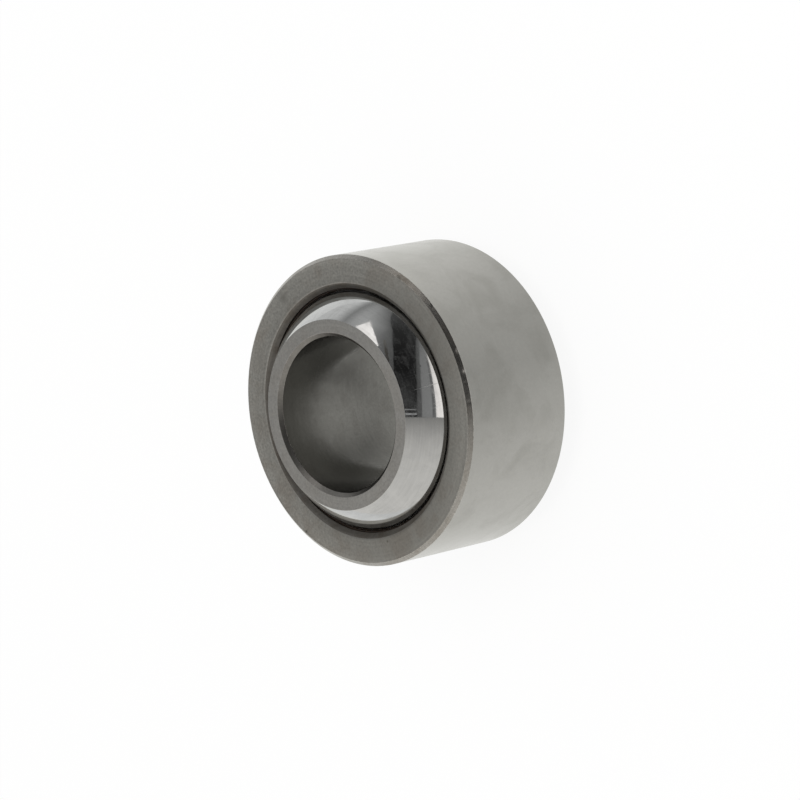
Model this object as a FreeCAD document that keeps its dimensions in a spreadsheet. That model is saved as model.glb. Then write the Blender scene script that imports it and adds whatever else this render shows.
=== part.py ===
import FreeCAD, Part

# Spherical plain bearing of the slim kind: a steel ball held in a closed outer ring by a bonded liner.
# The bearing axis is +Z and the origin is the centre of the ball. All lengths are millimetres.

import os

import Sketcher

# Driving sizes, each with its alias in the sheet and a note on what it measures
SIZES = [
    ("bore_diameter", 20, "hole through the ball, for the shaft or bolt"),
    ("inner_ring_width", 25, "from one flat end of the ball to the other"),
    ("ball_land", 2.1938, "from the bore out to the edge of the sphere on a flat end"),
    ("bore_chamfer", 0.5, "45 degree break at both ends of the bore"),
    ("running_clearance", 0.03, "radial play between the ball and the liner"),
    ("liner_thickness", 0.28, "sliding layer between the ball and the outer ring"),
    ("liner_recess", 0.35, "how far the liner ends inside the edge of the race"),
    ("bond_gap", 0.03, "glue line between the liner and the race"),
    ("ring_wall", 2.1975, "thinnest wall of the outer ring, over the middle of the race"),
    ("outer_ring_width", 18, "from one flat end of the outer ring to the other"),
    ("outer_chamfer", 0.5, "45 degree break at both outside edges of the outer ring"),
    ("lip_chamfer", 0.6, "45 degree break at both mouths of the outer ring"),
]

# Radii that follow from the driving sizes, from the bore outwards: each one rests on the one before
BORE_RADIUS = "Sizes.bore_diameter / 2"
LAND_RADIUS = BORE_RADIUS + " + Sizes.ball_land"
BALL_RADIUS = "sqrt((" + LAND_RADIUS + ")^2 + (Sizes.inner_ring_width / 2)^2)"
LINER_INSIDE = BALL_RADIUS + " + Sizes.running_clearance"
LINER_OUTSIDE = LINER_INSIDE + " + Sizes.liner_thickness"
RACE_RADIUS = LINER_OUTSIDE + " + Sizes.bond_gap"
OUTER_RADIUS = RACE_RADIUS + " + Sizes.ring_wall"

# Heights above the ball centre
BALL_FACE = "Sizes.inner_ring_width / 2"
RING_FACE = "Sizes.outer_ring_width / 2"
RACE_END = RING_FACE + " - Sizes.lip_chamfer"
LINER_END = RACE_END + " - Sizes.liner_recess"

# Point numbers that the sketcher uses on a line or an arc
START, END, CENTRE = 1, 2, 3

# The sketch's own origin point, horizontal axis and vertical axis
ORIGIN = (-1, 1)
AXIS_ACROSS = -1

# Two radii closer than this are the same edge
SAME = 1e-6


def make_sheet(doc):
    """Put the driving sizes in a sheet, one row each: name, value, note."""
    sheet = doc.addObject("Spreadsheet::Sheet", "Sizes")
    for row, (alias, value, note) in enumerate(SIZES, start=1):
        sheet.set(f"A{row}", alias)
        sheet.set(f"B{row}", str(value))
        sheet.set(f"C{row}", note)
        sheet.setAlias(f"B{row}", alias)
    doc.recompute()


def make_body(doc, label):
    """Start the body of one piece, standing in its place on the bearing axis."""
    body = doc.addObject("PartDesign::Body", label)
    body.Label = label
    body.Placement = FreeCAD.Placement()
    return body


def half_section(body):
    """Start the piece's half section: across is the radius, up is the bearing axis."""
    sketch = body.newObject("Sketcher::SketchObject", body.Label + "_section")
    plane = next(feature for feature in body.Origin.OriginFeatures if feature.Role == "XZ_Plane")
    sketch.AttachmentSupport = (plane, [""])
    sketch.MapMode = "FlatFace"
    return sketch


def line(sketch, start, end):
    """Add a straight line from one (radius, height) point to another and return its number."""
    return sketch.addGeometry(Part.LineSegment(FreeCAD.Vector(*start, 0), FreeCAD.Vector(*end, 0)), False)


def reach(radius, height):
    """Radius at which a sphere about the ball centre is cut by a plane at the given height."""
    return (radius ** 2 - height ** 2) ** 0.5


def arc(sketch, radius, half_height):
    """Add an arc about the ball centre that bulges outwards, from below to above, and return its number."""
    circle = Part.Circle(FreeCAD.Vector(), FreeCAD.Vector(0, 0, 1), radius)
    top = circle.parameter(FreeCAD.Vector(reach(radius, half_height), half_height, 0))
    number = sketch.addGeometry(Part.ArcOfCircle(circle, -top, top), False)
    sketch.addConstraint(Sketcher.Constraint("Coincident", number, CENTRE, *ORIGIN))
    return number


def join(sketch, *ends):
    """Join pairs of line or arc ends."""
    for first, second in ends:
        sketch.addConstraint(Sketcher.Constraint("Coincident", *first, *second))


def mirror(sketch, *pairs):
    """Hold pairs of points at the same radius and the same height above and below the ball centre."""
    for upper, lower in pairs:
        sketch.addConstraint(Sketcher.Constraint("Symmetric", *upper, *lower, AXIS_ACROSS))


def balance(sketch, *arcs):
    """Hold both ends of each arc at one radius, which puts them as far above the ball centre as below it."""
    for number in arcs:
        sketch.addConstraint(Sketcher.Constraint("Vertical", number, START, number, END))


def size(sketch, name, kind, where, expression):
    """Add a size to the section and tie it to the sheet."""
    number = sketch.addConstraint(Sketcher.Constraint(kind, *where, sketch.evalExpression(expression)))
    sketch.renameConstraint(number, name)
    sketch.setExpression("Constraints." + name, expression)


def revolve(body, sketch):
    """Turn the half section once round the bearing axis."""
    feature = body.newObject("PartDesign::Revolution", body.Label + "_turned")
    feature.Profile = sketch
    feature.ReferenceAxis = (sketch, ["V_Axis"])
    feature.Angle = 360
    body.Document.recompute()
    return feature


def chamfer(body, base, name, radius, expression):
    """Break every round edge of the given radius on the base feature by 45 degrees."""
    edges = []
    for number, edge in enumerate(base.Shape.Edges, start=1):
        if isinstance(edge.Curve, Part.Circle) and abs(edge.Curve.Radius - radius) < SAME:
            edges.append(f"Edge{number}")
    feature = body.newObject("PartDesign::Chamfer", name)
    feature.Base = (base, edges)
    feature.setExpression("Size", expression)
    body.Document.recompute()
    if not feature.Shape.Volume < base.Shape.Volume:
        raise RuntimeError(name + " removed nothing")
    return feature


def make_outer_ring(doc):
    """Outer ring: a plain ring outside, a hollow sphere zone inside, with a chamfered lip at each mouth."""
    body = make_body(doc, "outer_ring")
    section = half_section(body)
    outside, face, race, race_end, lip = map(
        section.evalExpression, (OUTER_RADIUS, RING_FACE, RACE_RADIUS, RACE_END, "Sizes.lip_chamfer"))
    race_edge = reach(race, race_end)
    mouth = race_edge + lip

    top_face = line(section, (mouth, face), (outside, face))
    barrel = line(section, (outside, face), (outside, -face))
    bottom_face = line(section, (outside, -face), (mouth, -face))
    bottom_lip = line(section, (mouth, -face), (race_edge, -race_end))
    hollow = arc(section, race, race_end)
    top_lip = line(section, (race_edge, race_end), (mouth, face))
    join(section,
         ((top_face, END), (barrel, START)),
         ((barrel, END), (bottom_face, START)),
         ((bottom_face, END), (bottom_lip, START)),
         ((bottom_lip, END), (hollow, START)),
         ((hollow, END), (top_lip, START)),
         ((top_lip, END), (top_face, START)))
    section.addConstraint(Sketcher.Constraint("Horizontal", top_face))
    mirror(section,
           ((barrel, START), (barrel, END)),
           ((top_face, START), (bottom_face, END)))
    balance(section, hollow)
    size(section, "outside", "DistanceX", (*ORIGIN, barrel, START), OUTER_RADIUS)
    size(section, "face", "DistanceY", (*ORIGIN, barrel, START), RING_FACE)
    size(section, "race", "Radius", (hollow,), RACE_RADIUS)
    size(section, "lip_out", "DistanceX", (hollow, END, top_face, START), "Sizes.lip_chamfer")
    size(section, "lip_up", "DistanceY", (hollow, END, top_face, START), "Sizes.lip_chamfer")

    turned = revolve(body, section)
    chamfer(body, turned, "outer_ring_edges", outside, "Sizes.outer_chamfer")
    return body


def make_liner(doc):
    """Sliding liner: a thin shell between two spheres about the ball centre, cut off square at both ends."""
    body = make_body(doc, "sliding_liner")
    section = half_section(body)
    inside, outside, end = map(section.evalExpression, (LINER_INSIDE, LINER_OUTSIDE, LINER_END))

    back = arc(section, outside, end)
    top_end = line(section, (reach(outside, end), end), (reach(inside, end), end))
    running_face = arc(section, inside, end)
    bottom_end = line(section, (reach(inside, end), -end), (reach(outside, end), -end))
    join(section,
         ((back, END), (top_end, START)),
         ((top_end, END), (running_face, END)),
         ((running_face, START), (bottom_end, START)),
         ((bottom_end, END), (back, START)))
    section.addConstraint(Sketcher.Constraint("Horizontal", top_end))
    balance(section, back, running_face)
    size(section, "running_face", "Radius", (running_face,), LINER_INSIDE)
    size(section, "back", "Radius", (back,), LINER_OUTSIDE)
    size(section, "end", "DistanceY", (*ORIGIN, back, END), LINER_END)

    revolve(body, section)
    return body


def make_inner_ring(doc):
    """Inner ring: a ball with two flat ends and a plain bore, chamfered where the shaft enters."""
    body = make_body(doc, "inner_ring")
    section = half_section(body)
    bore, ball, face = map(section.evalExpression, (BORE_RADIUS, BALL_RADIUS, BALL_FACE))

    top_face = line(section, (bore, face), (reach(ball, face), face))
    sphere = arc(section, ball, face)
    bottom_face = line(section, (reach(ball, face), -face), (bore, -face))
    wall = line(section, (bore, -face), (bore, face))
    join(section,
         ((top_face, END), (sphere, END)),
         ((sphere, START), (bottom_face, START)),
         ((bottom_face, END), (wall, START)),
         ((wall, END), (top_face, START)))
    section.addConstraint(Sketcher.Constraint("Horizontal", top_face))
    mirror(section, ((wall, END), (wall, START)))
    balance(section, sphere)
    size(section, "ball", "Radius", (sphere,), BALL_RADIUS)
    size(section, "bore", "DistanceX", (*ORIGIN, wall, END), BORE_RADIUS)
    size(section, "face", "DistanceY", (*ORIGIN, wall, END), BALL_FACE)

    turned = revolve(body, section)
    chamfer(body, turned, "bore_edges", bore, "Sizes.bore_chamfer")
    return body


def check(doc, bodies):
    """Stop before anything is written if a section is loose, a feature failed or a solid isn't sound."""
    for item in doc.Objects:
        if "Invalid" in item.State or "Error" in item.State:
            raise RuntimeError(item.Name + " failed")
        if item.TypeId == "Sketcher::SketchObject" and not item.FullyConstrained:
            raise RuntimeError(item.Name + " has a loose size")
    for body in bodies:
        if body.Shape.isNull() or not body.Shape.isValid() or len(body.Shape.Solids) != 1:
            raise RuntimeError(body.Label + " is not one sound solid")


def main():
    """Build the three pieces, check them and write one file each."""
    doc = FreeCAD.newDocument("SphericalPlainBearing")
    make_sheet(doc)
    bodies = [make_outer_ring(doc), make_liner(doc), make_inner_ring(doc)]
    doc.recompute()
    check(doc, bodies)
    os.makedirs("parts", exist_ok=True)
    for body in bodies:
        body.Shape.exportStep(f"parts/{body.Label}.step")
        print(body.Label, "volume", round(body.Shape.Volume, 1), "cubic millimetres")


main()
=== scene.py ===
"""Looks of a spherical plain bearing: ground, turned and polished steel over a woven sliding liner.

The bearing axis is +Z and the origin is the centre of the ball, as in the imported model. Sizes are written
in millimetres and become metres only where a mesh, a lamp or the camera is made.
"""
import logging
import math
from dataclasses import dataclass
from enum import Enum
from typing import ClassVar

import bpy
import numpy as np
from mathutils import Matrix, Vector


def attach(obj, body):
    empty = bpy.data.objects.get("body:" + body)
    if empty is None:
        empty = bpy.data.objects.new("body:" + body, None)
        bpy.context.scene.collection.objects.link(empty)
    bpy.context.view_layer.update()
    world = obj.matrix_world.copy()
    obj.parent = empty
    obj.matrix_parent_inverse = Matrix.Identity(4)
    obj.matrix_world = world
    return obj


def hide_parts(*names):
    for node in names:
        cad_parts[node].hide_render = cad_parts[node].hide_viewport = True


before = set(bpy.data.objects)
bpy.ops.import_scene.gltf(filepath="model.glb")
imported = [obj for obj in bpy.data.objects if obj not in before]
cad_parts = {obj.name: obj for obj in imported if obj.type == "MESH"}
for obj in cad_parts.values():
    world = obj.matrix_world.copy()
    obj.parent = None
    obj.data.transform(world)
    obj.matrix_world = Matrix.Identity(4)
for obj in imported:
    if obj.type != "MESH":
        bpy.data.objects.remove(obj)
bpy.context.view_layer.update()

MM = 0.001
# Rubbing reaches this far from a sharp edge, and a side with only soft edges counts as this far from one
EDGE_WEAR = 0.12
UNWORN = 9.0

log = logging.getLogger("bearing")


def linear(code: str) -> tuple[float, float, float, float]:
    """Turn an sRGB hex colour into linear light.

    Args:
        code: Six hex digits after a hash sign.

    Returns:
        Red, green and blue in linear light, and an alpha of one.
    """
    srgb = np.array([int(code[place:place + 2], 16) for place in (1, 3, 5)]) / 255
    light = np.where(srgb <= 0.04045, srgb / 12.92, ((srgb + 0.055) / 1.055) ** 2.4)
    return (*light.tolist(), 1.0)


def per_metre(size_mm: float) -> float:
    """Give the texture scale that draws features of the given size in mm on coordinates in metres."""
    return 1.0 / (size_mm * MM)


def add(tree: bpy.types.NodeTree, kind: str, inputs: dict | None = None, **settings: object) -> bpy.types.Node:
    """Add one node with its settings, its values and its links.

    Args:
        tree: The node tree that the node goes into.
        kind: The node's type without its ShaderNode prefix.
        inputs: Input names or numbers, each with a value or with the output socket that feeds it.
        settings: The node's own properties, such as operation or data_type.

    Returns:
        The new node.
    """
    node = tree.nodes.new("ShaderNode" + kind)
    for name, value in settings.items():
        setattr(node, name, value)
    for key, value in (inputs or {}).items():
        if isinstance(value, bpy.types.NodeSocket):
            tree.links.new(value, node.inputs[key])
        else:
            node.inputs[key].default_value = value
    return node


def new_material(name: str) -> tuple[bpy.types.Material, bpy.types.NodeTree]:
    """Start an empty node material.

    Args:
        name: The finish's name.

    Returns:
        The material and its node tree, with no nodes in it.
    """
    material = bpy.data.materials.new(name)
    material.use_nodes = True
    material.node_tree.nodes.clear()
    return material, material.node_tree


class Run(Enum):
    """How one side of a turned section gets from its first corner to the next."""

    STRAIGHT = "straight"
    ABOUT_CENTRE = "arc about the ball centre"


@dataclass(frozen=True)
class Side:
    """One side of a turned section, which ends where the next side starts."""

    radius: float
    height: float
    finish: str
    rounding: float
    run: Run = Run.STRAIGHT
    step: float = 0.35

    @property
    def start(self) -> np.ndarray:
        """First corner of the side, as radius and height."""
        return np.array([self.radius, self.height])


@dataclass(frozen=True)
class Dent:
    """A small bowl knocked into the surface by handling, turned by so many degrees round the axis."""

    turn: float
    radius: float
    height: float
    across: float
    along: float
    depth: float


@dataclass(frozen=True)
class Spot:
    """A stain, a speck or a broad patch of painted shade, turned by so many degrees round the axis, that fades out at
    size mm from its middle.
    """

    turn: float
    radius: float
    height: float
    size: float
    strength: float

    def fade(self, tree: bpy.types.NodeTree, place: bpy.types.NodeSocket) -> bpy.types.NodeSocket:
        """Give the spot's strength in its middle, falling evenly to nothing at its edge.

        Args:
            tree: The finish's node tree.
            place: The piece's own coordinates in metres.

        Returns:
            The socket that carries it.
        """
        turn = math.radians(self.turn)
        middle = np.array([self.radius * math.cos(turn), self.radius * math.sin(turn), self.height])
        near = add(tree, "Mapping", {"Vector": place, "Location": tuple((-middle / self.size).tolist()),
                                     "Scale": (per_metre(self.size),) * 3}).outputs[0]
        ball = add(tree, "TexGradient", {"Vector": near}, gradient_type="SPHERICAL").outputs["Fac"]
        return add(tree, "Math", {0: ball, 1: self.strength}, operation="MULTIPLY").outputs[0]


def strongest(tree: bpy.types.NodeTree, place: bpy.types.NodeSocket, spots: tuple[Spot, ...]) -> bpy.types.NodeSocket:
    """Lay several spots over each other.

    Args:
        tree: The finish's node tree.
        place: The piece's own coordinates in metres.
        spots: At least one spot.

    Returns:
        The socket with the strength of the strongest spot at each place.
    """
    top = spots[0].fade(tree, place)
    for spot in spots[1:]:
        top = add(tree, "Math", {0: top, 1: spot.fade(tree, place)}, operation="MAXIMUM").outputs[0]
    return top


@dataclass(frozen=True)
class Section:
    """The closed outline that a turned piece has on one side of the axis, walked clockwise.

    Clockwise means outwards along the upper end, down the outside and back in along the lower end. Corners
    rounded to more than sharpest mm don't wear.
    """

    sides: tuple[Side, ...]
    fillet_steps: int = 5
    crowding: float = 0.88
    sharpest: float = 0.2

    def heading(self, side: Side, end: np.ndarray, at: np.ndarray) -> np.ndarray:
        """Direction of travel on a side.

        Args:
            side: The side.
            end: Its far corner.
            at: The point on it where the direction is wanted.

        Returns:
            Unit vector: along the chord, or square to the spoke from the ball centre, turned the chord's way.
        """
        chord = end - side.start
        if side.run is Run.STRAIGHT:
            return chord / np.linalg.norm(chord)
        spoke = at / np.linalg.norm(at)
        square = np.array([-spoke[1], spoke[0]])
        return square * np.sign(square @ chord)

    def walk(self, side: Side, end: np.ndarray, cut_start: float, cut_end: float) -> np.ndarray:
        """Points along a side between its two rounded corners.

        The share of the length walked is u - c sin(2 pi u) / (2 pi) for u from 0 to 1, which crowds the
        points at both ends by the factor 1 - c, so that flat sides stay flat up to their rounded edges.

        Args:
            side: The side.
            end: Its far corner.
            cut_start: Length in mm that the first corner's rounding takes.
            cut_end: Length in mm that the far corner's rounding takes.

        Returns:
            Points as rows of radius and height.
        """
        chord = end - side.start
        if side.run is Run.STRAIGHT:
            length = np.linalg.norm(chord)
        else:
            reach = np.linalg.norm(side.start)
            length = 2 * reach * math.asin(np.linalg.norm(chord) / 2 / reach)
        even = np.linspace(0, 1, max(5, round(length / side.step)))
        share = even - self.crowding * np.sin(2 * np.pi * even) / (2 * np.pi)
        walked = cut_start + share * (length - cut_start - cut_end)
        if side.run is Run.STRAIGHT:
            return side.start + walked[:, None] * chord / length
        first = math.atan2(side.height, side.radius)
        way = np.sign(math.atan2(end[1], end[0]) - first)
        angle = first + way * walked / reach
        return reach * np.stack([np.cos(angle), np.sin(angle)], axis=1)

    def outline(self) -> tuple[np.ndarray, np.ndarray, np.ndarray, list[str]]:
        """Lay out the whole section with every corner rounded.

        A corner that turns by the angle f and is rounded to the radius p loses p tan(f / 2) from both of
        its sides, and its arc is the blend of its two end spokes with the weights sin((1 - u) f) and
        sin(u f), over sin f. The two finishes meet half way round it.

        Returns:
            Points as rows of radius and height, each point's distance from the nearest sharp corner in mm,
            the number of each stretch's finish, and the finishes' names in the order of those numbers.
        """
        corners = np.array([side.start for side in self.sides])
        ends = np.roll(corners, -1, axis=0)
        arriving = np.array([self.heading(s, e, e) for s, e in zip(self.sides, ends)])
        leaving = np.array([self.heading(s, e, s.start) for s, e in zip(self.sides, ends)])
        before = np.roll(arriving, 1, axis=0)
        turning = np.arccos(np.clip(np.sum(before * leaving, axis=1), -1, 1))
        rounding = np.array([side.rounding for side in self.sides])
        cut = rounding * np.tan(turning / 2)
        blunt = np.where(rounding > self.sharpest, UNWORN, 0.0)

        names = list(dict.fromkeys(side.finish for side in self.sides))
        points, near, finish = [], [], []
        share = np.linspace(0, 1, self.fillet_steps + 1)[1:-1, None]
        for number, side in enumerate(self.sides):
            angle = turning[number]
            inward = leaving[number] - before[number]
            centre = corners[number] + inward / np.linalg.norm(inward) * rounding[number] / math.cos(angle / 2)
            first = corners[number] - before[number] * cut[number] - centre
            last = corners[number] + leaving[number] * cut[number] - centre
            arc = centre + (np.sin((1 - share) * angle) * first + np.sin(share * angle) * last) / np.sin(angle)
            run = self.walk(side, ends[number], cut[number], cut[(number + 1) % len(cut)])
            half = len(arc) // 2
            travelled = np.concatenate([[0], np.cumsum(np.linalg.norm(np.diff(run, axis=0), axis=1))])
            points += [arc, run]
            onward = travelled[-1] - travelled + blunt[(number + 1) % len(blunt)]
            near += [np.full(len(arc), blunt[number]), np.minimum(travelled + blunt[number], onward)]
            finish += [np.full(half, names.index(self.sides[number - 1].finish)),
                       np.full(len(arc) - half + len(run), names.index(side.finish))]
        return np.concatenate(points), np.concatenate(near), np.concatenate(finish), names


@dataclass(frozen=True)
class Turning:
    """A section carried once round the bearing axis."""

    name: str
    section: Section
    around: int
    dents: tuple[Dent, ...] = ()

    def surface(self) -> dict[str, np.ndarray]:
        """Work out the turned surface on a grid of angles round the axis by points of the section.

        The point at angle a and section point (r, z) is (r cos a, r sin a, z), less the outward normal times
        the depth there. Each dent's depth is its own depth times 1 - (x / across)^2 - (y / along)^2 where
        that is above 0, with x the arc from its middle and y the distance from it in the section's plane.

        Returns:
            points, quads, finish number of each quad, lay (cos a, sin a, mm walked along the section) and
            edge (1 on a sharp corner, falling by a factor e for each EDGE_WEAR from it).
        """
        outline, near, finish, _ = self.section.outline()
        angle = np.linspace(0, 2 * np.pi, self.around, endpoint=False)
        step = np.roll(outline, -1, axis=0) - np.roll(outline, 1, axis=0)
        step /= np.linalg.norm(step, axis=1, keepdims=True)
        outward = np.stack([-step[:, 1], step[:, 0]], axis=1)

        depth = np.zeros((self.around, len(outline)))
        if self.dents:
            turn, radius, height, across, along, deep = (
                np.array([getattr(dent, name) for dent in self.dents])
                for name in ("turn", "radius", "height", "across", "along", "depth"))
            swing = np.angle(np.exp(1j * (angle[None, :] - np.radians(turn)[:, None])))
            round_axis = (swing * radius[:, None] / across[:, None]) ** 2
            in_plane = np.hypot(outline[None, :, 0] - radius[:, None], outline[None, :, 1] - height[:, None])
            bowl = 1 - round_axis[:, :, None] - ((in_plane / along[:, None]) ** 2)[:, None, :]
            depth = np.max(np.clip(bowl, 0, None) * deep[:, None, None], axis=0)

        cut = outline[None] - outward[None] * depth[..., None]
        cos, sin = np.cos(angle)[:, None], np.sin(angle)[:, None]
        points = np.stack([cut[..., 0] * cos, cut[..., 0] * sin, cut[..., 1]], axis=-1)
        walked = np.concatenate([[0], np.cumsum(np.linalg.norm(np.diff(outline, axis=0), axis=1))])
        lay = np.stack(np.broadcast_arrays(cos, sin, walked[None, :]), axis=-1)

        row, column = np.arange(self.around)[:, None], np.arange(len(outline))[None, :]
        next_row, next_column = (row + 1) % self.around, (column + 1) % len(outline)
        wide = len(outline)
        quads = np.stack(np.broadcast_arrays(row * wide + column, row * wide + next_column,
                                             next_row * wide + next_column, next_row * wide + column), axis=-1)
        return {
            "points": points.reshape(-1, 3) * MM,
            "quads": quads.reshape(-1, 4),
            "finish": np.tile(finish, self.around),
            "lay": lay.reshape(-1, 3),
            "edge": np.tile(np.exp(-near / EDGE_WEAR), self.around),
        }

    def build(self) -> bpy.types.Object:
        """Make the piece's mesh, with the attributes that its finishes read.

        Returns:
            The new object, at the origin, smooth shaded, with no materials yet.
        """
        made = self.surface()
        mesh = bpy.data.meshes.new(self.name)
        mesh.from_pydata(made["points"], [], made["quads"])
        mesh.polygons.foreach_set("material_index", made["finish"].astype(np.int32))
        mesh.shade_smooth()
        mesh.attributes.new("lay", "FLOAT_VECTOR", "POINT").data.foreach_set("vector", made["lay"].ravel())
        mesh.attributes.new("edge", "FLOAT", "POINT").data.foreach_set("value", made["edge"])
        piece = bpy.data.objects.new(self.name, mesh)
        bpy.context.scene.collection.objects.link(piece)
        return piece


@dataclass(frozen=True)
class CutSteel:
    """Bearing steel with the marks of the tool or wheel that cut it.

    lay_pitch is the spacing of the tool marks, grain the size of the fine mottle and cloud the size of the
    broad patches, all in mm. The depths of marks and grain are in mm too. Stains, broad spots of painted shade
    and rubbed edges lie over the steel's own colour. Darkening makes the steel darker by its third value at the
    radius of its first, and fades out at the radius of its second.
    """

    name: str
    colour: str
    patch: str
    bright: str
    roughness: float
    roughness_spread: float = 0.05
    patch_share: float = 0.6
    lay_pitch: float = 0.20
    lay_depth: float = 0.0010
    grain: float = 0.28
    grain_depth: float = 0.0014
    cloud: float = 3.0
    mottle: float = 0.10
    seed: float = 0.0
    stain_and_shade_colour: str = "#5A554C"
    stains_and_shade: tuple[Spot, ...] = ()
    darkening: tuple[float, float, float] | None = None

    def material(self) -> bpy.types.Material:
        """Build the finish.

        Returns:
            The material.
        """
        material, tree = new_material(self.name)
        place = add(tree, "TexCoord").outputs["Object"]
        lay = add(tree, "Attribute", attribute_name="lay").outputs["Vector"]
        edge = add(tree, "Attribute", attribute_name="edge").outputs["Fac"]
        moved = add(tree, "Mapping", {"Vector": place, "Location": (self.seed * MM, 0, 0)}).outputs["Vector"]

        # Tool marks run round the axis, so they are short across the lay and long along it
        along = add(tree, "Mapping", {"Vector": lay, "Scale": (1.5, 1.5, 1 / self.lay_pitch)}).outputs["Vector"]
        marks = add(tree, "TexNoise", {"Vector": along, "Scale": 1.0, "Detail": 3.0, "Roughness": 0.65}).outputs[0]
        grain = add(tree, "TexNoise", {"Vector": moved, "Scale": per_metre(self.grain), "Detail": 4.0,
                                       "Roughness": 0.6}).outputs[0]
        cloud = add(tree, "TexNoise", {"Vector": moved, "Scale": per_metre(self.cloud), "Detail": 3.0,
                                       "Roughness": 0.55, "Distortion": 0.6}).outputs[0]

        # Broad patches of another tone, then the fine mottle as a change of lightness
        share = add(tree, "MapRange", {"Value": cloud, 1: 0.42, 2: 0.72, 3: 0.0, 4: self.patch_share},
                    interpolation_type="SMOOTHSTEP").outputs[0]
        toned = add(tree, "Mix", {0: share, 6: linear(self.colour), 7: linear(self.patch)},
                    data_type="RGBA").outputs[2]
        fleck = add(tree, "Math", {0: marks, 1: 0.4, 2: grain}, operation="MULTIPLY_ADD").outputs[0]
        light = add(tree, "MapRange", {"Value": fleck, 1: 0.50, 2: 0.90, 3: 1 - self.mottle, 4: 1 + self.mottle},
                    clamp=False).outputs[0]
        mottled = add(tree, "VectorMath", {0: toned, 1: light}, operation="MULTIPLY").outputs[0]

        # Darker towards the mouth: film is only the darkening factor, darkest at the first radius and gone at the
        # second
        if self.darkening:
            flat = add(tree, "VectorMath", {0: place, 1: (1, 1, 0)}, operation="MULTIPLY").outputs[0]
            radius = add(tree, "VectorMath", {0: flat}, operation="LENGTH").outputs["Value"]
            film = add(tree, "MapRange", {"Value": radius, 1: self.darkening[0] * MM, 2: self.darkening[1] * MM,
                                          3: 1 - self.darkening[2], 4: 1.0}).outputs[0]
            mottled = add(tree, "VectorMath", {0: mottled, 1: film}, operation="MULTIPLY").outputs[0]

        # Storage leaves brown stains and specks, and broad spots add painted shade, all ragged where the mottle cuts
        # into them; soiled carries both
        if self.stains_and_shade:
            ragged = add(tree, "Math", {0: strongest(tree, place, self.stains_and_shade), 1: grain},
                         operation="MULTIPLY").outputs[0]
            soiled = add(tree, "MapRange", {"Value": ragged, 1: 0.04, 2: 0.5, 3: 0.0, 4: 1.0}).outputs[0]
            mottled = add(tree, "Mix", {0: soiled, 6: mottled, 7: linear(self.stain_and_shade_colour)},
                          data_type="RGBA").outputs[2]

        # Handling rubs the edges bright, in broken lengths
        broken = add(tree, "Math", {0: edge, 1: grain}, operation="MULTIPLY").outputs[0]
        rubbed = add(tree, "MapRange", {"Value": broken, 1: 0.42, 2: 0.68, 3: 0.0, 4: 0.5},
                     interpolation_type="SMOOTHSTEP").outputs[0]
        colour = add(tree, "Mix", {0: rubbed, 6: mottled, 7: linear(self.bright)}, data_type="RGBA").outputs[2]

        mixed = add(tree, "Math", {0: cloud, 1: marks}, operation="ADD").outputs[0]
        dull = add(tree, "MapRange", {"Value": mixed, 1: 0.7, 2: 1.3,
                                      3: self.roughness - self.roughness_spread,
                                      4: self.roughness + self.roughness_spread}).outputs[0]

        fine = add(tree, "Bump", {"Height": grain, "Distance": self.grain_depth * MM, "Strength": 1.0}).outputs[0]
        cut = add(tree, "Bump", {"Height": marks, "Distance": self.lay_depth * MM, "Strength": 1.0,
                                 "Normal": fine}).outputs[0]
        shader = add(tree, "BsdfPrincipled", {"Base Color": colour, "Metallic": 1.0, "Roughness": dull,
                                              "Normal": cut})
        add(tree, "OutputMaterial", {"Surface": shader.outputs[0]})
        return material


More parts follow.
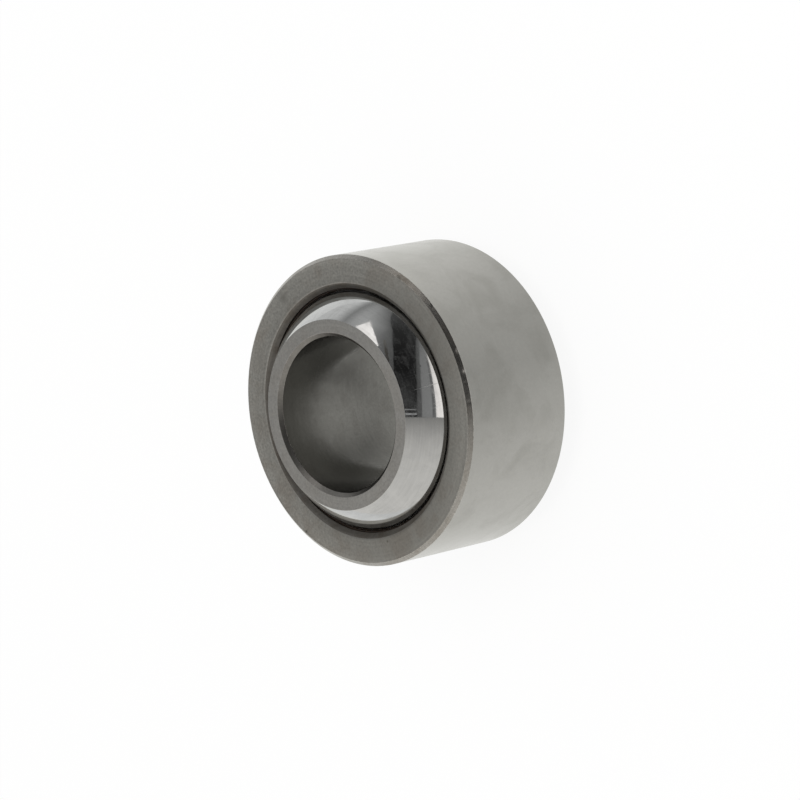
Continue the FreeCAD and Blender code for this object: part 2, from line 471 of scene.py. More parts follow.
@dataclass(frozen=True)
class PolishedSteel:
    """Hardened ball steel, lapped and polished, with wipe marks, a thin oily film and hairline scratches.

    smudge is the size of the wipe marks, streak the spacing of the polishing lines round the axis, swell and
    swell_depth the size and depth of the lapping's waves and hair the width of each scratch's cell, in mm. A
    cell is hair_slimness times as long as wide. A scratch's half width and half length are hair_width and
    hair_reach of its cell: wider than real ones, which are far thinner than one pixel, so they dull little.
    """

    name: str
    colour: str
    dirt: str
    roughness: float = 0.045
    smudged: float = 0.11
    scratched: float = 0.32
    film: float = 0.06
    smudge: float = 3.2
    streak: float = 0.24
    swell: float = 2.4
    swell_depth: float = 0.0016
    hair: float = 1.9
    hair_slimness: float = 7.0
    hair_width: float = 0.022
    hair_reach: float = 0.3
    seed: float = 5.0
    families: tuple[tuple[float, float, float], ...] = ((0.15, 0.1, -1.45), (0.85, 0.1, 0.25), (-0.75, 0.2, -0.5))
    specks: tuple[Spot, ...] = ()

    def scratches(self, tree: bpy.types.NodeTree, place: bpy.types.NodeSocket, normal: bpy.types.NodeSocket,
                  turn: tuple[float, float, float]) -> bpy.types.NodeSocket:
        """Draw one family of nearly parallel hairlines, one through each of many long, thin cells.

        A hairline is where the offset from its cell's middle, taken square to the family's direction and
        along the surface, is less than the half width times 1 - y / hair_reach, with y the share of the cell's
        length from its middle. It is left out where the surface turns away from the family's direction.

        Args:
            tree: The finish's node tree.
            place: The piece's own coordinates in metres.
            normal: The surface's own normal.
            turn: Rotation in radians that lays the y axis along the family.

        Returns:
            The socket that is one on a hairline and nothing between them.
        """
        turned, facing = (add(tree, "VectorRotate", {"Vector": vector, "Rotation": turn}, invert=True,
                              rotation_type="EULER_XYZ").outputs[0] for vector in (place, normal))
        cell, lengthways = per_metre(self.hair), (0, 1, 0)
        squeezed = add(tree, "VectorMath", {0: turned, 1: (cell, cell / self.hair_slimness, cell)},
                       operation="MULTIPLY").outputs[0]
        middle = add(tree, "TexVoronoi", {"Vector": squeezed, "Scale": 1.0})
        offset = add(tree, "VectorMath", {0: squeezed, 1: middle.outputs["Position"]}, operation="SUBTRACT").outputs[0]
        sideways = add(tree, "VectorMath", {0: facing, 1: lengthways}, operation="CROSS_PRODUCT").outputs[0]
        shares = (add(tree, "VectorMath", {0: one, 1: other}, operation="DOT_PRODUCT").outputs["Value"]
                  for one, other in ((offset, sideways), (offset, lengthways), (facing, lengthways)))
        across, along, away = (add(tree, "Math", {0: share}, operation="ABSOLUTE").outputs[0] for share in shares)
        width = add(tree, "MapRange", {"Value": along, 1: 0.0, 2: self.hair_reach,
                                       3: self.hair_width, 4: 0.0}).outputs[0]
        inside = add(tree, "Math", {0: width, 1: across}, operation="SUBTRACT").outputs[0]
        line = add(tree, "MapRange", {"Value": inside, 1: 0.0, 2: 0.012, 3: 0.0, 4: 1.0}).outputs[0]
        kept = add(tree, "MapRange", {"Value": away, 1: 0.25, 2: 0.45, 3: 1.0, 4: 0.0}).outputs[0]
        chance = add(tree, "VectorMath", {0: middle.outputs["Color"], 1: (1, 0, 0)},
                     operation="DOT_PRODUCT").outputs["Value"]
        depth = add(tree, "MapRange", {"Value": chance, 1: 0.35, 2: 1.0, 3: 0.0, 4: 1.0}).outputs[0]
        line = add(tree, "Math", {0: line, 1: kept}, operation="MULTIPLY").outputs[0]
        return add(tree, "Math", {0: line, 1: depth}, operation="MULTIPLY").outputs[0]

    def material(self) -> bpy.types.Material:
        """Build the finish.

        Returns:
            The material.
        """
        material, tree = new_material(self.name)
        own = add(tree, "TexCoord")
        place, normal = own.outputs["Object"], own.outputs["Normal"]
        lay = add(tree, "Attribute", attribute_name="lay").outputs["Vector"]
        moved = add(tree, "Mapping", {"Vector": place, "Location": (0, self.seed * MM, 0)}).outputs[0]
        cloud = add(tree, "TexNoise", {"Vector": moved, "Scale": per_metre(self.smudge), "Detail": 5.0,
                                       "Roughness": 0.6, "Distortion": 1.6}).outputs[0]
        round_axis = add(tree, "Mapping", {"Vector": lay, "Scale": (3.0, 3.0, 1 / self.streak)}).outputs[0]
        lines = add(tree, "TexNoise", {"Vector": round_axis, "Scale": 1.0, "Detail": 3.0, "Roughness": 0.6}).outputs[0]
        worn = add(tree, "Math", {0: lines, 1: 0.7, 2: cloud}, operation="MULTIPLY_ADD").outputs[0]

        # Wipe marks and polishing lines leave the steel a little less sharp, hairlines duller still
        dull = add(tree, "MapRange", {"Value": worn, 1: 0.78, 2: 1.12, 3: self.roughness, 4: self.smudged},
                   interpolation_type="SMOOTHSTEP").outputs[0]
        hairs = self.scratches(tree, moved, normal, self.families[0])
        for turn in self.families[1:]:
            hairs = add(tree, "Math", {0: hairs, 1: self.scratches(tree, moved, normal, turn)},
                        operation="MAXIMUM").outputs[0]
        dull = add(tree, "Mix", {0: hairs, 2: dull, 3: self.scratched}).outputs[0]

        # A film of oil scatters a little white light, which shows only where the steel mirrors the dark
        oily = add(tree, "MapRange", {"Value": worn, 1: 0.76, 2: 1.08, 3: 1.0, 4: 1 - self.film}).outputs[0]
        toned = add(tree, "MapRange", {"Value": worn, 1: 0.66, 2: 1.10, 3: 1.06, 4: 0.90}).outputs[0]
        colour = add(tree, "VectorMath", {0: linear(self.colour)[:3], 1: toned}, operation="MULTIPLY").outputs[0]
        if self.specks:
            soiled = add(tree, "MapRange", {"Value": strongest(tree, place, self.specks), 1: 0.2, 2: 0.6}).outputs[0]
            colour = add(tree, "Mix", {0: soiled, 6: colour, 7: linear(self.dirt)}, data_type="RGBA").outputs[2]
        swell = add(tree, "TexNoise", {"Vector": moved, "Scale": per_metre(self.swell), "Detail": 1.0}).outputs[0]
        wave = add(tree, "Bump", {"Height": swell, "Distance": self.swell_depth * MM, "Strength": 1.0}).outputs[0]
        shader = add(tree, "BsdfPrincipled", {"Base Color": colour, "Metallic": oily, "Roughness": dull,
                                              "Normal": wave})
        add(tree, "OutputMaterial", {"Surface": shader.outputs[0]})
        return material


@dataclass(frozen=True)
class WovenLiner:
    """Sliding fabric set in resin: dark brown threads, matt, crossing over and under."""

    name: str
    thread: str
    resin: str
    pitch: float = 0.32
    radius: float = 17.6
    relief: float = 0.03

    def material(self) -> bpy.types.Material:
        """Build the finish.

        Returns:
            The material.
        """
        material, tree = new_material(self.name)
        place = add(tree, "TexCoord").outputs["Object"]
        lay = add(tree, "Attribute", attribute_name="lay").outputs["Vector"]
        wide = self.radius / self.pitch
        stretched = add(tree, "Mapping", {"Vector": lay, "Scale": (wide, wide, 1 / self.pitch)}).outputs["Vector"]
        weave = add(tree, "TexVoronoi", {"Vector": stretched, "Scale": 1.0, "Randomness": 0.35}).outputs["Distance"]
        fuzz = add(tree, "TexNoise", {"Vector": place, "Scale": per_metre(0.5), "Detail": 3.0}).outputs[0]
        share = add(tree, "MapRange", {"Value": weave, 1: 0.2, 2: 0.75, 3: 0.0, 4: 1.0}).outputs[0]
        toned = add(tree, "Mix", {0: share, 6: linear(self.thread), 7: linear(self.resin)},
                    data_type="RGBA").outputs[2]
        dull = add(tree, "MapRange", {"Value": fuzz, 1: 0.3, 2: 0.7, 3: 0.55, 4: 0.75}).outputs[0]
        raised = add(tree, "Bump", {"Height": weave, "Distance": self.relief * MM, "Strength": 1.0},
                     invert=True).outputs[0]
        shader = add(tree, "BsdfPrincipled", {"Base Color": toned, "Roughness": dull, "Normal": raised})
        add(tree, "OutputMaterial", {"Surface": shader.outputs[0]})
        return material


# Hardened ring steel after centreless grinding: smooth satin, with very faint lines and clouds round the outside
RING_OUTSIDE = CutSteel("ring_steel_ground", "#B8B7B3", "#A9A8A3", "#D6D4CF", roughness=0.22, lay_pitch=0.22,
                        lay_depth=0.00025, grain=0.45, grain_depth=0.0002, cloud=6.0, mottle=0.025, seed=3.0)
# The same steel hard turned and tumbled: dull grey and mottled, darker towards the mouth, with a few brown storage
# stains and two broad spots of painted shade that darken one side of the end
RING_END = CutSteel("ring_steel_turned", "#BFBEB8", "#AEA9A1", "#CFCCC6", roughness=0.42, roughness_spread=0.06,
                    patch_share=0.8, lay_pitch=0.25, grain=0.32, grain_depth=0.0017, cloud=3.6, mottle=0.20,
                    seed=11.0, darkening=(16.3, 19.0, 0.17), stains_and_shade=(
                        Spot(59.4, 18.1, 9.0, 2.4, 0.14), Spot(136.7, 19.2, 9.0, 0.32, 0.8),
                        Spot(183.6, 17.0, 9.0, 0.36, 0.7), Spot(171.0, 18.4, 9.0, 3.0, 0.18),
                        Spot(28.5, 18.3, 9.0, 1.3, 0.42), Spot(-82.0, 17.2, 9.0, 2.2, 0.24),
                        # Painted shade: these two broad spots darken the end on the side where less light falls
                        Spot(-66.0, 18.0, 9.0, 20.0, 0.26), Spot(-152.0, 18.0, 9.0, 30.0, 0.26)))
# Edge breaks left as turned, rubbed bright in places and soiled in one
RING_BREAK = CutSteel("ring_steel_chamfer", "#A09E99", "#8C867D", "#DCD9D2", roughness=0.27,
                      roughness_spread=0.06, patch_share=0.5, lay_depth=0.0012, grain_depth=0.0020, cloud=2.5,
                      mottle=0.14, seed=17.0, stains_and_shade=(Spot(-41.0, 19.75, 8.75, 5.5, 0.65),))
# Mouth of the ring, pressed down over the ball: soft edged, dull and darker
RING_LIP = CutSteel("ring_steel_lip", "#83807B", "#756D63", "#A9A6A0", roughness=0.58, roughness_spread=0.06,
                    lay_depth=0.0012, grain_depth=0.0016, mottle=0.12, seed=23.0,
                    stains_and_shade=(Spot(-90.0, 16.0, 8.7, 15.0, 0.30),))
# Hidden hollow of the ring, blasted for the glue
RING_HOLLOW = CutSteel("ring_steel_blasted", "#6E6A64", "#5A544C", "#8C8881", roughness=0.60, lay_pitch=0.30,
                       grain=0.25, grain_depth=0.0040, mottle=0.15, seed=29.0)
# Ends of the ball after face grinding: satin, with fine lines round the bore
BALL_END = CutSteel("ball_steel_face_ground", "#C3C2BE", "#B8B5AF", "#DAD8D4", roughness=0.36,
                    roughness_spread=0.04, lay_pitch=0.18, lay_depth=0.0008, grain_depth=0.0012, cloud=2.8,
                    mottle=0.13, seed=31.0)
# Bore of the ball, honed and left a little dull: smooth, with faint lines round it
BALL_BORE = CutSteel("ball_steel_honed", "#979692", "#8B8985", "#9C9A95", roughness=0.20, roughness_spread=0.04,
                     patch_share=0.7, lay_pitch=0.26, lay_depth=0.0003, grain=0.32, grain_depth=0.0002,
                     cloud=3.2, seed=37.0)
# Edge breaks of the bore: cut steel, a little darker than the ends
BALL_BREAK = CutSteel("ball_steel_chamfer", "#84827E", "#76746E", "#B4B1AB", roughness=0.32, patch_share=0.5,
                      mottle=0.12, seed=41.0)
# The ball's sphere, lapped and polished: a clear mirror under faint wipe marks, with two specks of dirt
BALL_SPHERE = PolishedSteel("ball_steel_polished", "#BCBDBC", "#1E1C1A",
                            specks=(Spot(-106.7, 11.97, 12.71, 0.16, 1.0), Spot(-74.2, 14.39, 9.9, 0.18, 0.6)))
# Sliding fabric bonded with resin: only its cut edge shows, as a dark brown line round the ball
LINER_CLOTH = WovenLiner("liner_woven_resin", "#34271C", "#1C1510")

FINISHES = {finish.name: finish for finish in (
    RING_OUTSIDE, RING_END, RING_BREAK, RING_LIP, RING_HOLLOW, BALL_END, BALL_BORE, BALL_BREAK, BALL_SPHERE,
    LINER_CLOTH)}


def dress(piece: bpy.types.Object, names: list[str]) -> None:
    """Give a piece its finishes.

    Args:
        piece: The piece.
        names: Names of its finishes, in the order of its mesh's material numbers.
    """
    for name in names:
        piece.data.materials.append(bpy.data.materials.get(name) or FINISHES[name].material())


@dataclass
class OuterRing:
    """Outer ring: a plain ring outside, a hollow sphere zone inside, with a lip at each mouth."""

    outer_radius: float = 20.0
    half_width: float = 9.0
    outer_chamfer: float = 0.5
    race_radius: float = 17.8025
    lip_chamfer: float = 0.6
    edge_rounding: float = 0.07
    lip_rounding: float = 0.75
    around: int = 624
    dents: tuple[Dent, ...] = (
        Dent(283.9, 20.0, 8.5, 0.50, 0.30, 0.070),
        Dent(276.2, 20.0, 8.5, 0.32, 0.30, 0.090),
        Dent(272.2, 19.8, 8.7, 0.22, 0.50, 0.035),
        Dent(265.1, 19.75, 8.75, 0.22, 0.45, 0.030),
        Dent(303.2, 20.0, 8.5, 0.30, 0.25, 0.060),
        Dent(321.5, 19.5, 9.0, 0.35, 0.25, 0.050),
        Dent(229.6, 19.5, 9.0, 0.25, 0.22, 0.040),
        Dent(223.3, 19.5, 9.0, 0.30, 0.22, 0.040),
        Dent(118.0, 20.0, 8.5, 0.35, 0.25, 0.060))

    @property
    def race_edge(self) -> float:
        """Radius where the hollow sphere meets the lip chamfer."""
        return math.sqrt(self.race_radius ** 2 - (self.half_width - self.lip_chamfer) ** 2)

    def section(self) -> Section:
        """Outline of the ring, clockwise from the inner edge of its upper end.

        Returns:
            The section.
        """
        face, race_end = self.half_width, self.half_width - self.lip_chamfer
        mouth, flat, barrel = self.race_edge + self.lip_chamfer, self.outer_radius - self.outer_chamfer, \
            self.half_width - self.outer_chamfer
        edge, lip = self.edge_rounding, self.lip_rounding
        return Section((
            Side(mouth, face, RING_END.name, lip, step=0.2),
            Side(flat, face, RING_BREAK.name, edge, step=0.1),
            Side(self.outer_radius, barrel, RING_OUTSIDE.name, edge, step=0.5),
            Side(self.outer_radius, -barrel, RING_BREAK.name, edge, step=0.1),
            Side(flat, -face, RING_END.name, edge, step=0.2),
            Side(mouth, -face, RING_LIP.name, lip, step=0.1),
            Side(self.race_edge, -race_end, RING_HOLLOW.name, edge, Run.ABOUT_CENTRE, step=0.7),
            Side(self.race_edge, race_end, RING_LIP.name, edge, step=0.1)))

    def build(self) -> bpy.types.Object:
        """Build and dress the ring.

        Returns:
            The ring, riding on its own body.
        """
        turning = Turning("outer_ring_turned", self.section(), self.around, self.dents)
        piece = turning.build()
        dress(piece, turning.section.outline()[3])
        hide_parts("outer_ring")
        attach(piece, "ring")
        return piece


@dataclass
class SlidingLiner:
    """Sliding liner: a thin shell between two spheres about the ball centre."""

    inside: float = 17.4925
    outside: float = 17.7725
    end: float = 8.05
    edge_rounding: float = 0.04
    around: int = 360

    def section(self) -> Section:
        """Outline of the liner, clockwise from the inner edge of its upper end.

        Returns:
            The section.
        """
        inner, outer = (math.sqrt(radius ** 2 - self.end ** 2) for radius in (self.inside, self.outside))
        cloth, edge = LINER_CLOTH.name, self.edge_rounding
        return Section((
            Side(inner, self.end, cloth, edge, step=0.06),
            Side(outer, self.end, cloth, edge, Run.ABOUT_CENTRE, step=0.8),
            Side(outer, -self.end, cloth, edge, step=0.06),
            Side(inner, -self.end, cloth, edge, Run.ABOUT_CENTRE, step=0.8)))

    def build(self) -> bpy.types.Object:
        """Build and dress the liner.

        Returns:
            The liner, riding on its own body.
        """
        turning = Turning("sliding_liner_woven", self.section(), self.around)
        piece = turning.build()
        dress(piece, turning.section.outline()[3])
        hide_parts("sliding_liner")
        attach(piece, "liner")
        return piece


@dataclass
class InnerRing:
    """Inner ring: a ball with two flat ends and a plain bore."""

    bore_radius: float = 10.0
    ball_radius: float = 17.4625
    half_width: float = 12.5
    bore_chamfer: float = 0.5
    edge_rounding: float = 0.06
    around: int = 456

    def section(self) -> Section:
        """Outline of the ball, clockwise from the inner edge of its upper end.

        Returns:
            The section.
        """
        face, wall = self.half_width, self.half_width - self.bore_chamfer
        mouth = self.bore_radius + self.bore_chamfer
        land = math.sqrt(self.ball_radius ** 2 - face ** 2)
        edge = self.edge_rounding
        return Section((
            Side(mouth, face, BALL_END.name, edge, step=0.12),
            Side(land, face, BALL_SPHERE.name, edge, Run.ABOUT_CENTRE, step=0.3),
            Side(land, -face, BALL_END.name, edge, step=0.12),
            Side(mouth, -face, BALL_BREAK.name, edge, step=0.1),
            Side(self.bore_radius, -wall, BALL_BORE.name, edge, step=0.5),
            Side(self.bore_radius, wall, BALL_BREAK.name, edge, step=0.1)))

    def build(self) -> bpy.types.Object:
        """Build and dress the ball.

        Returns:
            The ball, riding on its own body.
        """
        turning = Turning("inner_ring_polished", self.section(), self.around)
        piece = turning.build()
        dress(piece, turning.section.outline()[3])
        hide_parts("inner_ring")
        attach(piece, "ball")
        return piece


@dataclass(frozen=True)
class Photographer:
    """Where the camera stands, and which way its right and upper side point."""

    place: Vector = Vector((0.0757, -356.1958, 358.3771))
    right: Vector = Vector((-0.198191, -0.694473, -0.691684))
    up: Vector = Vector((0.980163, -0.140721, -0.139562))
    lens: float = 176.93

    @property
    def back(self) -> Vector:
        """Direction from the object to the camera."""
        return self.right.cross(self.up).normalized()

    def build(self) -> bpy.types.Object:
        """Make the camera and put it in charge of the scene.

        Returns:
            The camera.
        """
        data = bpy.data.cameras.new("camera")
        data.lens, data.sensor_width = self.lens, 36.0
        data.clip_start, data.clip_end = 0.01, 20.0
        camera = bpy.data.objects.new("camera", data)
        turned = Matrix((self.right, self.back.cross(self.right), self.back)).transposed().to_4x4()
        camera.matrix_world = Matrix.Translation(self.place * MM) @ turned
        bpy.context.scene.collection.objects.link(camera)
        bpy.context.scene.camera = camera
        return camera


def refine(stops: np.ndarray, axis: int, steps: int) -> np.ndarray:
    """Put evenly spaced points between stops along one axis, on straight lines from stop to stop.

    Args:
        stops: Grid of stops.
        axis: Axis to refine.
        steps: Number of steps from one stop to the next.

    Returns:
        The finer grid, which still holds every stop.
    """
    count = stops.shape[axis]
    place = np.linspace(0, count - 1, (count - 1) * steps + 1)
    low = np.minimum(place.astype(int), count - 2)
    share = (place - low).reshape([-1 if axis == number else 1 for number in range(stops.ndim)])
    return np.take(stops, low, axis) * (1 - share) + np.take(stops, low + 1, axis) * share


def glowing_sheet(name: str, points: np.ndarray, level: np.ndarray, tint: str) -> bpy.types.Object:
    """Make a sheet that only metal sees, as a lit card is seen in a reflection.

    Args:
        name: The sheet's name.
        points: Grid of points in mm, with x, y and z along the last axis.
        level: Light at each point, where 1 is white.
        tint: Colour of the light.

    Returns:
        The sheet, which the camera, the floor and the shadows don't see.
    """
    rows, columns = level.shape
    corner = (np.arange(rows - 1)[:, None] * columns + np.arange(columns - 1)[None, :]).reshape(-1, 1)
    mesh = bpy.data.meshes.new(name)
    mesh.from_pydata(points.reshape(-1, 3) * MM, [], corner + np.array([0, columns, columns + 1, 1]))
    mesh.attributes.new("level", "FLOAT", "POINT").data.foreach_set("value", level.ravel())
    material, tree = new_material(name)
    strength = add(tree, "Attribute", attribute_name="level").outputs["Fac"]
    glow = add(tree, "Emission", {"Color": linear(tint), "Strength": strength})
    add(tree, "OutputMaterial", {"Surface": glow.outputs[0]})
    mesh.materials.append(material)
    sheet = bpy.data.objects.new(name, mesh)
    bpy.context.scene.collection.objects.link(sheet)
    sheet.visible_camera = sheet.visible_diffuse = sheet.visible_shadow = False
    return sheet


def row(up: float, *stops: tuple[float, float]) -> tuple[tuple[float, float, float], ...]:
    """Make one level row of a card.

    Args:
        up: Angle up that its stops share.
        stops: Angle across and light of each stop.

    Returns:
        The row, as angle across, angle up and light of each stop.
    """
    return tuple((across, up, light) for across, light in stops)


@dataclass(frozen=True)
class Card:
    """A sheet of card or cloth hung round the object.

    Its stops are rows from its lower edge to its upper one, and each stop is an angle across from the
    camera's direction to the right, an angle up, both as seen from the object, and a level of light.
    """

    name: str
    distance: float
    stops: tuple[tuple[tuple[float, float, float], ...], ...]
    tint: str = "#FFFFFF"
    steps: int = 8

    def build(self, eye: Photographer) -> bpy.types.Object:
        """Hang the card, as part of a sphere round the object.

        The point at the angles a across and e up is the distance times cos e sin a to the right, sin e up and
        cos e cos a back towards the camera.

        Args:
            eye: The photographer, whose right, up and back the angles are measured from.

        Returns:
            The card.
        """
        grid = refine(refine(np.array(self.stops, dtype=float), 0, self.steps), 1, self.steps)
        across, upwards = np.radians(grid[..., 0]), np.radians(grid[..., 1])
        parts = np.stack([np.cos(upwards) * np.sin(across), np.sin(upwards),
                          np.cos(upwards) * np.cos(across)], axis=-1)
        points = self.distance * parts @ np.array([eye.right, eye.up, eye.back])
        return glowing_sheet(self.name, points, grid[..., 2], self.tint)


@dataclass(frozen=True)
class GlowingMat:
    """A glowing ring or round on the floor that only metal sees: painted reflected light and shade, which sets how
    light the steel's sides look.

    Its stops are turns round the axis in degrees, each with the level of light at the inner edge and the
    level from the middle radius outwards.
    """

    name: str
    radii: tuple[float, float, float]
    stops: tuple[tuple[float, float, float], ...]
    height: float = -12.46

    def build(self) -> bpy.types.Object:
        """Lay the glowing mat: the point at the turn t and radius r is (r cos t, r sin t, height).

        Returns:
            The glowing mat.
        """
        grid = refine(np.array(self.stops, dtype=float), 0, 6)
        turn, radius = np.radians(grid[:, :1]), np.array([self.radii])
        points = np.stack(np.broadcast_arrays(radius * np.cos(turn), radius * np.sin(turn), self.height), axis=-1)
        level = np.stack([grid[:, 1], grid[:, 2], grid[:, 2]], axis=1)
        return glowing_sheet(self.name, points, level, "#FFFFFC")


# Last stops of the room's lower rows: the wall beyond the camera's right, as angles across and levels
WALL_TO_THE_RIGHT = ((45, 0.50), (75, 0.95), (105, 1.0))


@dataclass
class Studio:
    """Plain pale floor, even white surroundings, a soft lamp, the cards that shape the reflections, and glowing mats
    that paint light and shade into them.
    """

    eye: Photographer
    floor_height: float = -12.5
    floor_half: float = 3000.0
    camera_share: float = 0.90
    metal_share: float = 0.45
    lamp_place: Vector = Vector((160.0, -220.0, 620.0))
    lamp_size: float = 420.0
    lamp_power: float = 1.2
    matt_level: float = 0.8
    glowing_mats: ClassVar[tuple[GlowingMat, ...]] = (
        # Painted reflected light and shade: the floor round the ring as the outside mirrors it, set lighter or darker
        # turn by turn
        GlowingMat("glow_round_ring", (20.6, 42.0, 110.0), (
            (-290, 0.97, 0.97), (-215, 0.93, 0.93), (-185, 0.88, 0.87), (-165, 0.85, 0.81), (-142, 0.83, 0.77),
            (-120, 0.80, 0.66), (-100, 0.72, 0.53), (-82, 0.60, 0.49), (-60, 0.58, 0.58), (-40, 0.69, 0.70),
            (-20, 0.80, 0.84), (5, 0.90, 0.90), (40, 0.95, 0.93), (70, 0.97, 0.97))),
        # Painted light: the floor inside the bore lies in the bearing's own shade, yet glows here in the bore's
        # reflection
        GlowingMat("glow_under_bore", (0.01, 5.0, 9.9), (
            (-290, 0.46, 0.48), (-270, 0.46, 0.52), (-225, 0.46, 0.40), (-200, 0.46, 0.27), (-180, 0.46, 0.29),
            (-157, 0.46, 0.46), (-135, 0.46, 0.50), (-90, 0.46, 0.56), (-45, 0.46, 0.50), (-15, 0.46, 0.42),
            (10, 0.46, 0.27), (30, 0.46, 0.27), (50, 0.46, 0.37), (70, 0.46, 0.48))),
    )
    cards: ClassVar[tuple[Card, ...]] = (
        Card("card_room", 700, (
            row(-14, (-180, 0.88), (-152, 0.93), (-132, 0.33), (-84, 0.26), (-60, 0.52), (-40, 0.62), (-24, 0.30),
                (-8, 0.11), (11, 0.11), *WALL_TO_THE_RIGHT),
            row(20, (-180, 0.87), (-146, 0.80), (-124, 0.33), (-84, 0.28), (-60, 0.56), (-42, 0.52), (-25, 0.19),
                (-10, 0.12), (12, 0.12), *WALL_TO_THE_RIGHT),
            row(50, (-180, 0.85), (-112, 0.78), (-92, 0.33), (-78, 0.50), (-60, 0.56), (-40, 0.31), (-24, 0.18),
                (-12, 0.12), (14, 0.12), *WALL_TO_THE_RIGHT),
            row(63, (-180, 0.82), (-122, 0.82), (-101, 0.32), (-84, 0.54), (-68, 0.60), (-48, 0.46), (-30, 0.28),
                (-18, 0.14), (18, 0.13), *WALL_TO_THE_RIGHT),
            row(74, (-180, 0.84), (-135, 0.80), (-111, 0.31), (-94, 0.42), (-76, 0.44), (-58, 0.34), (-40, 0.24),
                (-28, 0.14), (30, 0.13), (60, 0.50), (90, 0.95), (120, 1.0)),
            row(86, (-180, 0.80), (-158, 0.60), (-125, 0.15), (-105, 0.14), (-85, 0.13), (-65, 0.13), (-52, 0.13),
                (-40, 0.13), (40, 0.13), (70, 0.40), (100, 0.80), (130, 0.9)))),
        Card("card_sheet", 680, (
            row(-90, (-180, 0.90), (-110, 0.90), (-80, 0.90), (-45, 0.90), (-18, 0.90), (60, 0.90), (110, 0.90),
                (180, 0.90)),
            row(-50, (-180, 0.95), (-125, 0.92), (-85, 0.84), (-45, 0.86), (-18, 0.84), (60, 0.84), (110, 0.90),
                (180, 0.95)),
            row(-40, (-180, 0.90), (-135, 0.95), (-88, 0.70), (-45, 0.80), (-18, 0.74), (60, 0.74), (110, 0.95),
                (180, 1.00)),
            row(-31, (-180, 0.90), (-145, 0.90), (-90, 0.48), (-45, 0.74), (-18, 0.65), (60, 0.65), (110, 1.00),
                (180, 1.00)),
            row(-22, (-180, 0.88), (-150, 0.90), (-90, 0.34), (-45, 0.68), (-18, 0.50), (60, 0.52), (110, 1.00),
                (180, 1.00)),
            row(-13, (-180, 0.88), (-152, 0.93), (-90, 0.27), (-45, 0.62), (-18, 0.33), (60, 0.36), (110, 1.00),
                (180, 1.00))), "#FFFCF8"),
        Card("card_behind_camera", 600, (
            row(-12.6, (-7.8, 0.035), (0, 0.05), (10.9, 0.035)),
            row(8, (-8.4, 0.03), (0, 0.045), (10.6, 0.03)),
            row(26, (-9.3, 0.018), (0, 0.015), (10.9, 0.02)),
            row(43, (-11.3, 0.02), (0, 0.02), (12.3, 0.03)),
            row(61, (-17, 0.035), (0, 0.035), (17, 0.05)),
            row(79, (-38, 0.09), (0, 0.09), (38, 0.09)))),
        Card("card_grey_strip", 590, (
            row(-12.6, (10.9, 0.12), (14.6, 0.13), (15.2, 0.31), (23.4, 0.34), (24.4, 0.16), (27.0, 0.26)),
            row(13, (10.6, 0.11), (14.0, 0.13), (14.5, 0.30), (21.8, 0.32), (22.6, 0.15), (24.6, 0.25)),
            row(35, (11.4, 0.11), (14.2, 0.13), (14.8, 0.28), (20.6, 0.30), (21.2, 0.15), (23.0, 0.25)),
            row(52, (13.6, 0.12), (17.0, 0.14), (18.0, 0.24), (24.0, 0.26), (25.0, 0.20), (28.0, 0.26)))),
        Card("card_bright_strip", 580, (
            row(-12.6, (27.0, 1.25), (31.0, 1.40), (60.0, 1.40)),
            row(13, (24.6, 1.20), (29.0, 1.40), (60.0, 1.40)),
            row(43, (22.1, 1.00), (27.0, 1.25), (60.0, 1.25))), "#FFFAF7"),
        Card("card_table_line", 575, (
            row(-7.0, (-2.0, 0.42), (10.0, 0.34)),
            row(-6.2, (-2.0, 0.42), (10.0, 0.34))), steps=1),
        Card("card_table_edge", 575, (
            row(-10.8, (-3.0, 0.55), (10.5, 0.50)),
            row(-9.6, (-3.0, 0.55), (10.5, 0.50))), steps=1),
        Card("card_window", 570, (
            ((-32.7, 43.5, 1.45), (-28.1, 45.7, 1.55)),
            ((-43.3, 48.9, 1.45), (-35.2, 52.7, 1.60)),
            ((-56.9, 52.9, 1.45), (-44.9, 58.7, 1.60)),
            ((-72.0, 55.7, 1.40), (-59.6, 63.9, 1.55))), "#FFFBF9"),
        Card("card_lamp_post", 590, (
            row(21, (-14.4, 0.07), (-12.8, 0.07)),
            row(34, (-17.4, 0.06), (-14.2, 0.05)),
            row(44, (-21.0, 0.10), (-17.8, 0.08)),
            row(51, (-24.5, 0.18), (-22.0, 0.16))), "#FFF6EA"),
    )

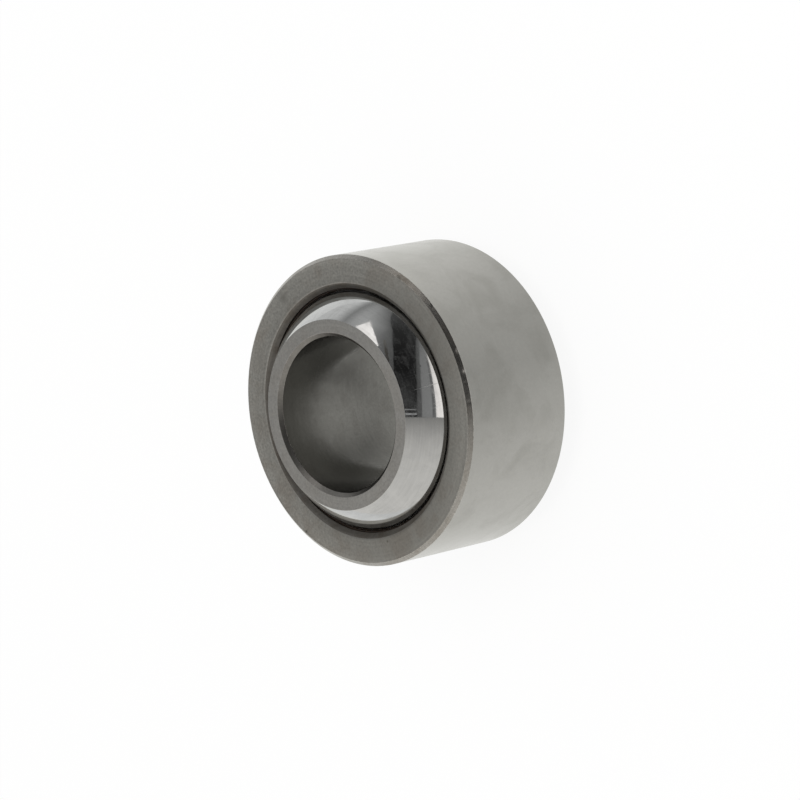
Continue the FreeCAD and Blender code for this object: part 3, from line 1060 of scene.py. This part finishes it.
    def floor(self) -> bpy.types.Object:
        """Lay the floor: white to the camera and pale to metal, with part of its shading kept as the shadow.

        Returns:
            The floor.
        """
        half, height = self.floor_half * MM, self.floor_height * MM
        mesh = bpy.data.meshes.new("floor")
        mesh.from_pydata([(-half, -half, height), (half, -half, height), (half, half, height),
                          (-half, half, height)], [], [(0, 1, 2, 3)])
        floor = bpy.data.objects.new("floor", mesh)
        material, tree = new_material("floor_white_paper")
        path = add(tree, "LightPath")
        seen = add(tree, "Math", {0: path.outputs["Is Camera Ray"], 1: path.outputs["Is Transmission Ray"]},
                   operation="ADD").outputs[0]
        seen = add(tree, "Math", {0: seen, 1: self.camera_share}, operation="MULTIPLY").outputs[0]
        share = add(tree, "Math", {0: path.outputs["Is Glossy Ray"], 1: self.metal_share, 2: seen},
                    operation="MULTIPLY_ADD").outputs[0]
        paper = add(tree, "BsdfDiffuse", {"Color": linear("#FBFBFA")})
        white = add(tree, "Emission", {"Color": (1, 1, 1, 1), "Strength": 1.0})
        mixed = add(tree, "MixShader", {0: share, 1: paper.outputs[0], 2: white.outputs[0]})
        add(tree, "OutputMaterial", {"Surface": mixed.outputs[0]})
        mesh.materials.append(material)
        bpy.context.scene.collection.objects.link(floor)
        return floor

    def surroundings(self) -> None:
        """Set an even world: white to the camera and to metal, a little lower as a light on matt surfaces."""
        world = bpy.data.worlds.new("studio_white")
        world.use_nodes = True
        tree = world.node_tree
        tree.nodes.clear()
        path = add(tree, "LightPath")
        seen = add(tree, "Math", {0: path.outputs["Is Camera Ray"], 1: path.outputs["Is Glossy Ray"]},
                   operation="ADD").outputs[0]
        seen = add(tree, "Math", {0: seen, 1: path.outputs["Is Transmission Ray"]}, operation="ADD",
                   use_clamp=True).outputs[0]
        level = add(tree, "MapRange", {"Value": seen, 3: self.matt_level, 4: 1.0}).outputs[0]
        light = add(tree, "Background", {"Color": (1, 1, 1, 1), "Strength": level})
        add(tree, "OutputWorld", {"Surface": light.outputs[0]})
        bpy.context.scene.world = world

    def lamp(self) -> bpy.types.Object:
        """Hang one large soft lamp high above the object, which metal doesn't mirror.

        Returns:
            The lamp.
        """
        data = bpy.data.lights.new("lamp_soft", "AREA")
        data.shape, data.size, data.energy = "DISK", self.lamp_size * MM, self.lamp_power
        lamp = bpy.data.objects.new("lamp_soft", data)
        lamp.location = self.lamp_place * MM
        lamp.rotation_euler = self.lamp_place.to_track_quat("Z", "Y").to_euler()
        lamp.visible_glossy = False
        bpy.context.scene.collection.objects.link(lamp)
        return lamp

    def build(self) -> None:
        """Set up the whole studio."""
        self.surroundings()
        self.lamp()
        self.floor()
        for glowing_mat in self.glowing_mats:
            glowing_mat.build()
        for card in self.cards:
            card.build(self.eye)
        bpy.context.scene.view_settings.view_transform = "Standard"


def main() -> None:
    """Build the camera, the studio and the bearing's pieces, and log each one."""
    logging.basicConfig(level=logging.INFO, format="%(name)s: %(message)s")
    eye = Photographer()
    eye.build()
    Studio(eye).build()
    for part in (OuterRing(), SlidingLiner(), InnerRing()):
        piece = part.build()
        log.info("%s: %d faces, %d finishes", piece.name, len(piece.data.polygons), len(piece.data.materials))


if __name__ == "__main__":
    main()
